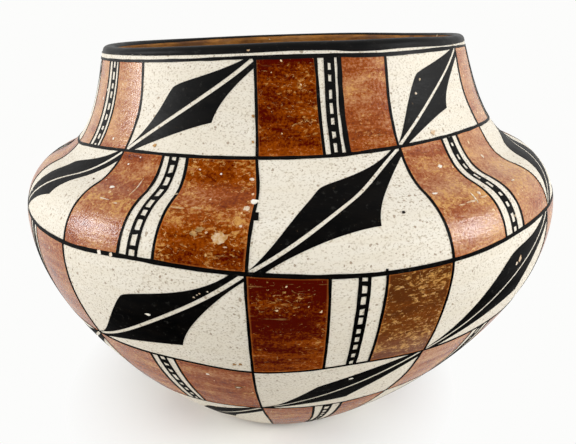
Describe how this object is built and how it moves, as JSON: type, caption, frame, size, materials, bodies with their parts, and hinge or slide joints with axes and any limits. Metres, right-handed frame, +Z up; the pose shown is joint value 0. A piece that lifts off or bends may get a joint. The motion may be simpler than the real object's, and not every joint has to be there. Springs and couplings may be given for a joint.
{
  "type": "pueblo pottery jar",
  "caption": "Coil-built round pottery jar with a wide belly, sloping shoulder and short neck, white slipped and painted with checkered panels of rust and black leaves.",
  "frame": {"origin": "on the floor, under the middle of the foot ring", "axes": "+Z up along the jar's axis; -Y towards the picture's camera"},
  "size_m": [0.3004, 0.3004, 0.2218],
  "materials": {
    "fired_clay": "matt, scraped",
    "white_slip": "stone polished slip",
    "orange_slip": "matt slip",
    "black_paint": "matt mineral paint"
  },
  "bodies": {
    "root": {"base_slab": "fired_clay", "wall_coil_1": "fired_clay", "wall_coil_2": "fired_clay", "wall_coil_3": "fired_clay", "wall_coil_4": "fired_clay", "wall_coil_5": "fired_clay", "wall_coil_6": "fired_clay", "wall_coil_7": "fired_clay", "wall_coil_8": "fired_clay", "rim_coil": "fired_clay", "white_slip": "white_slip", "neck_slip": "orange_slip", "lip_band": "black_paint"}
  },
  "joints": []
}
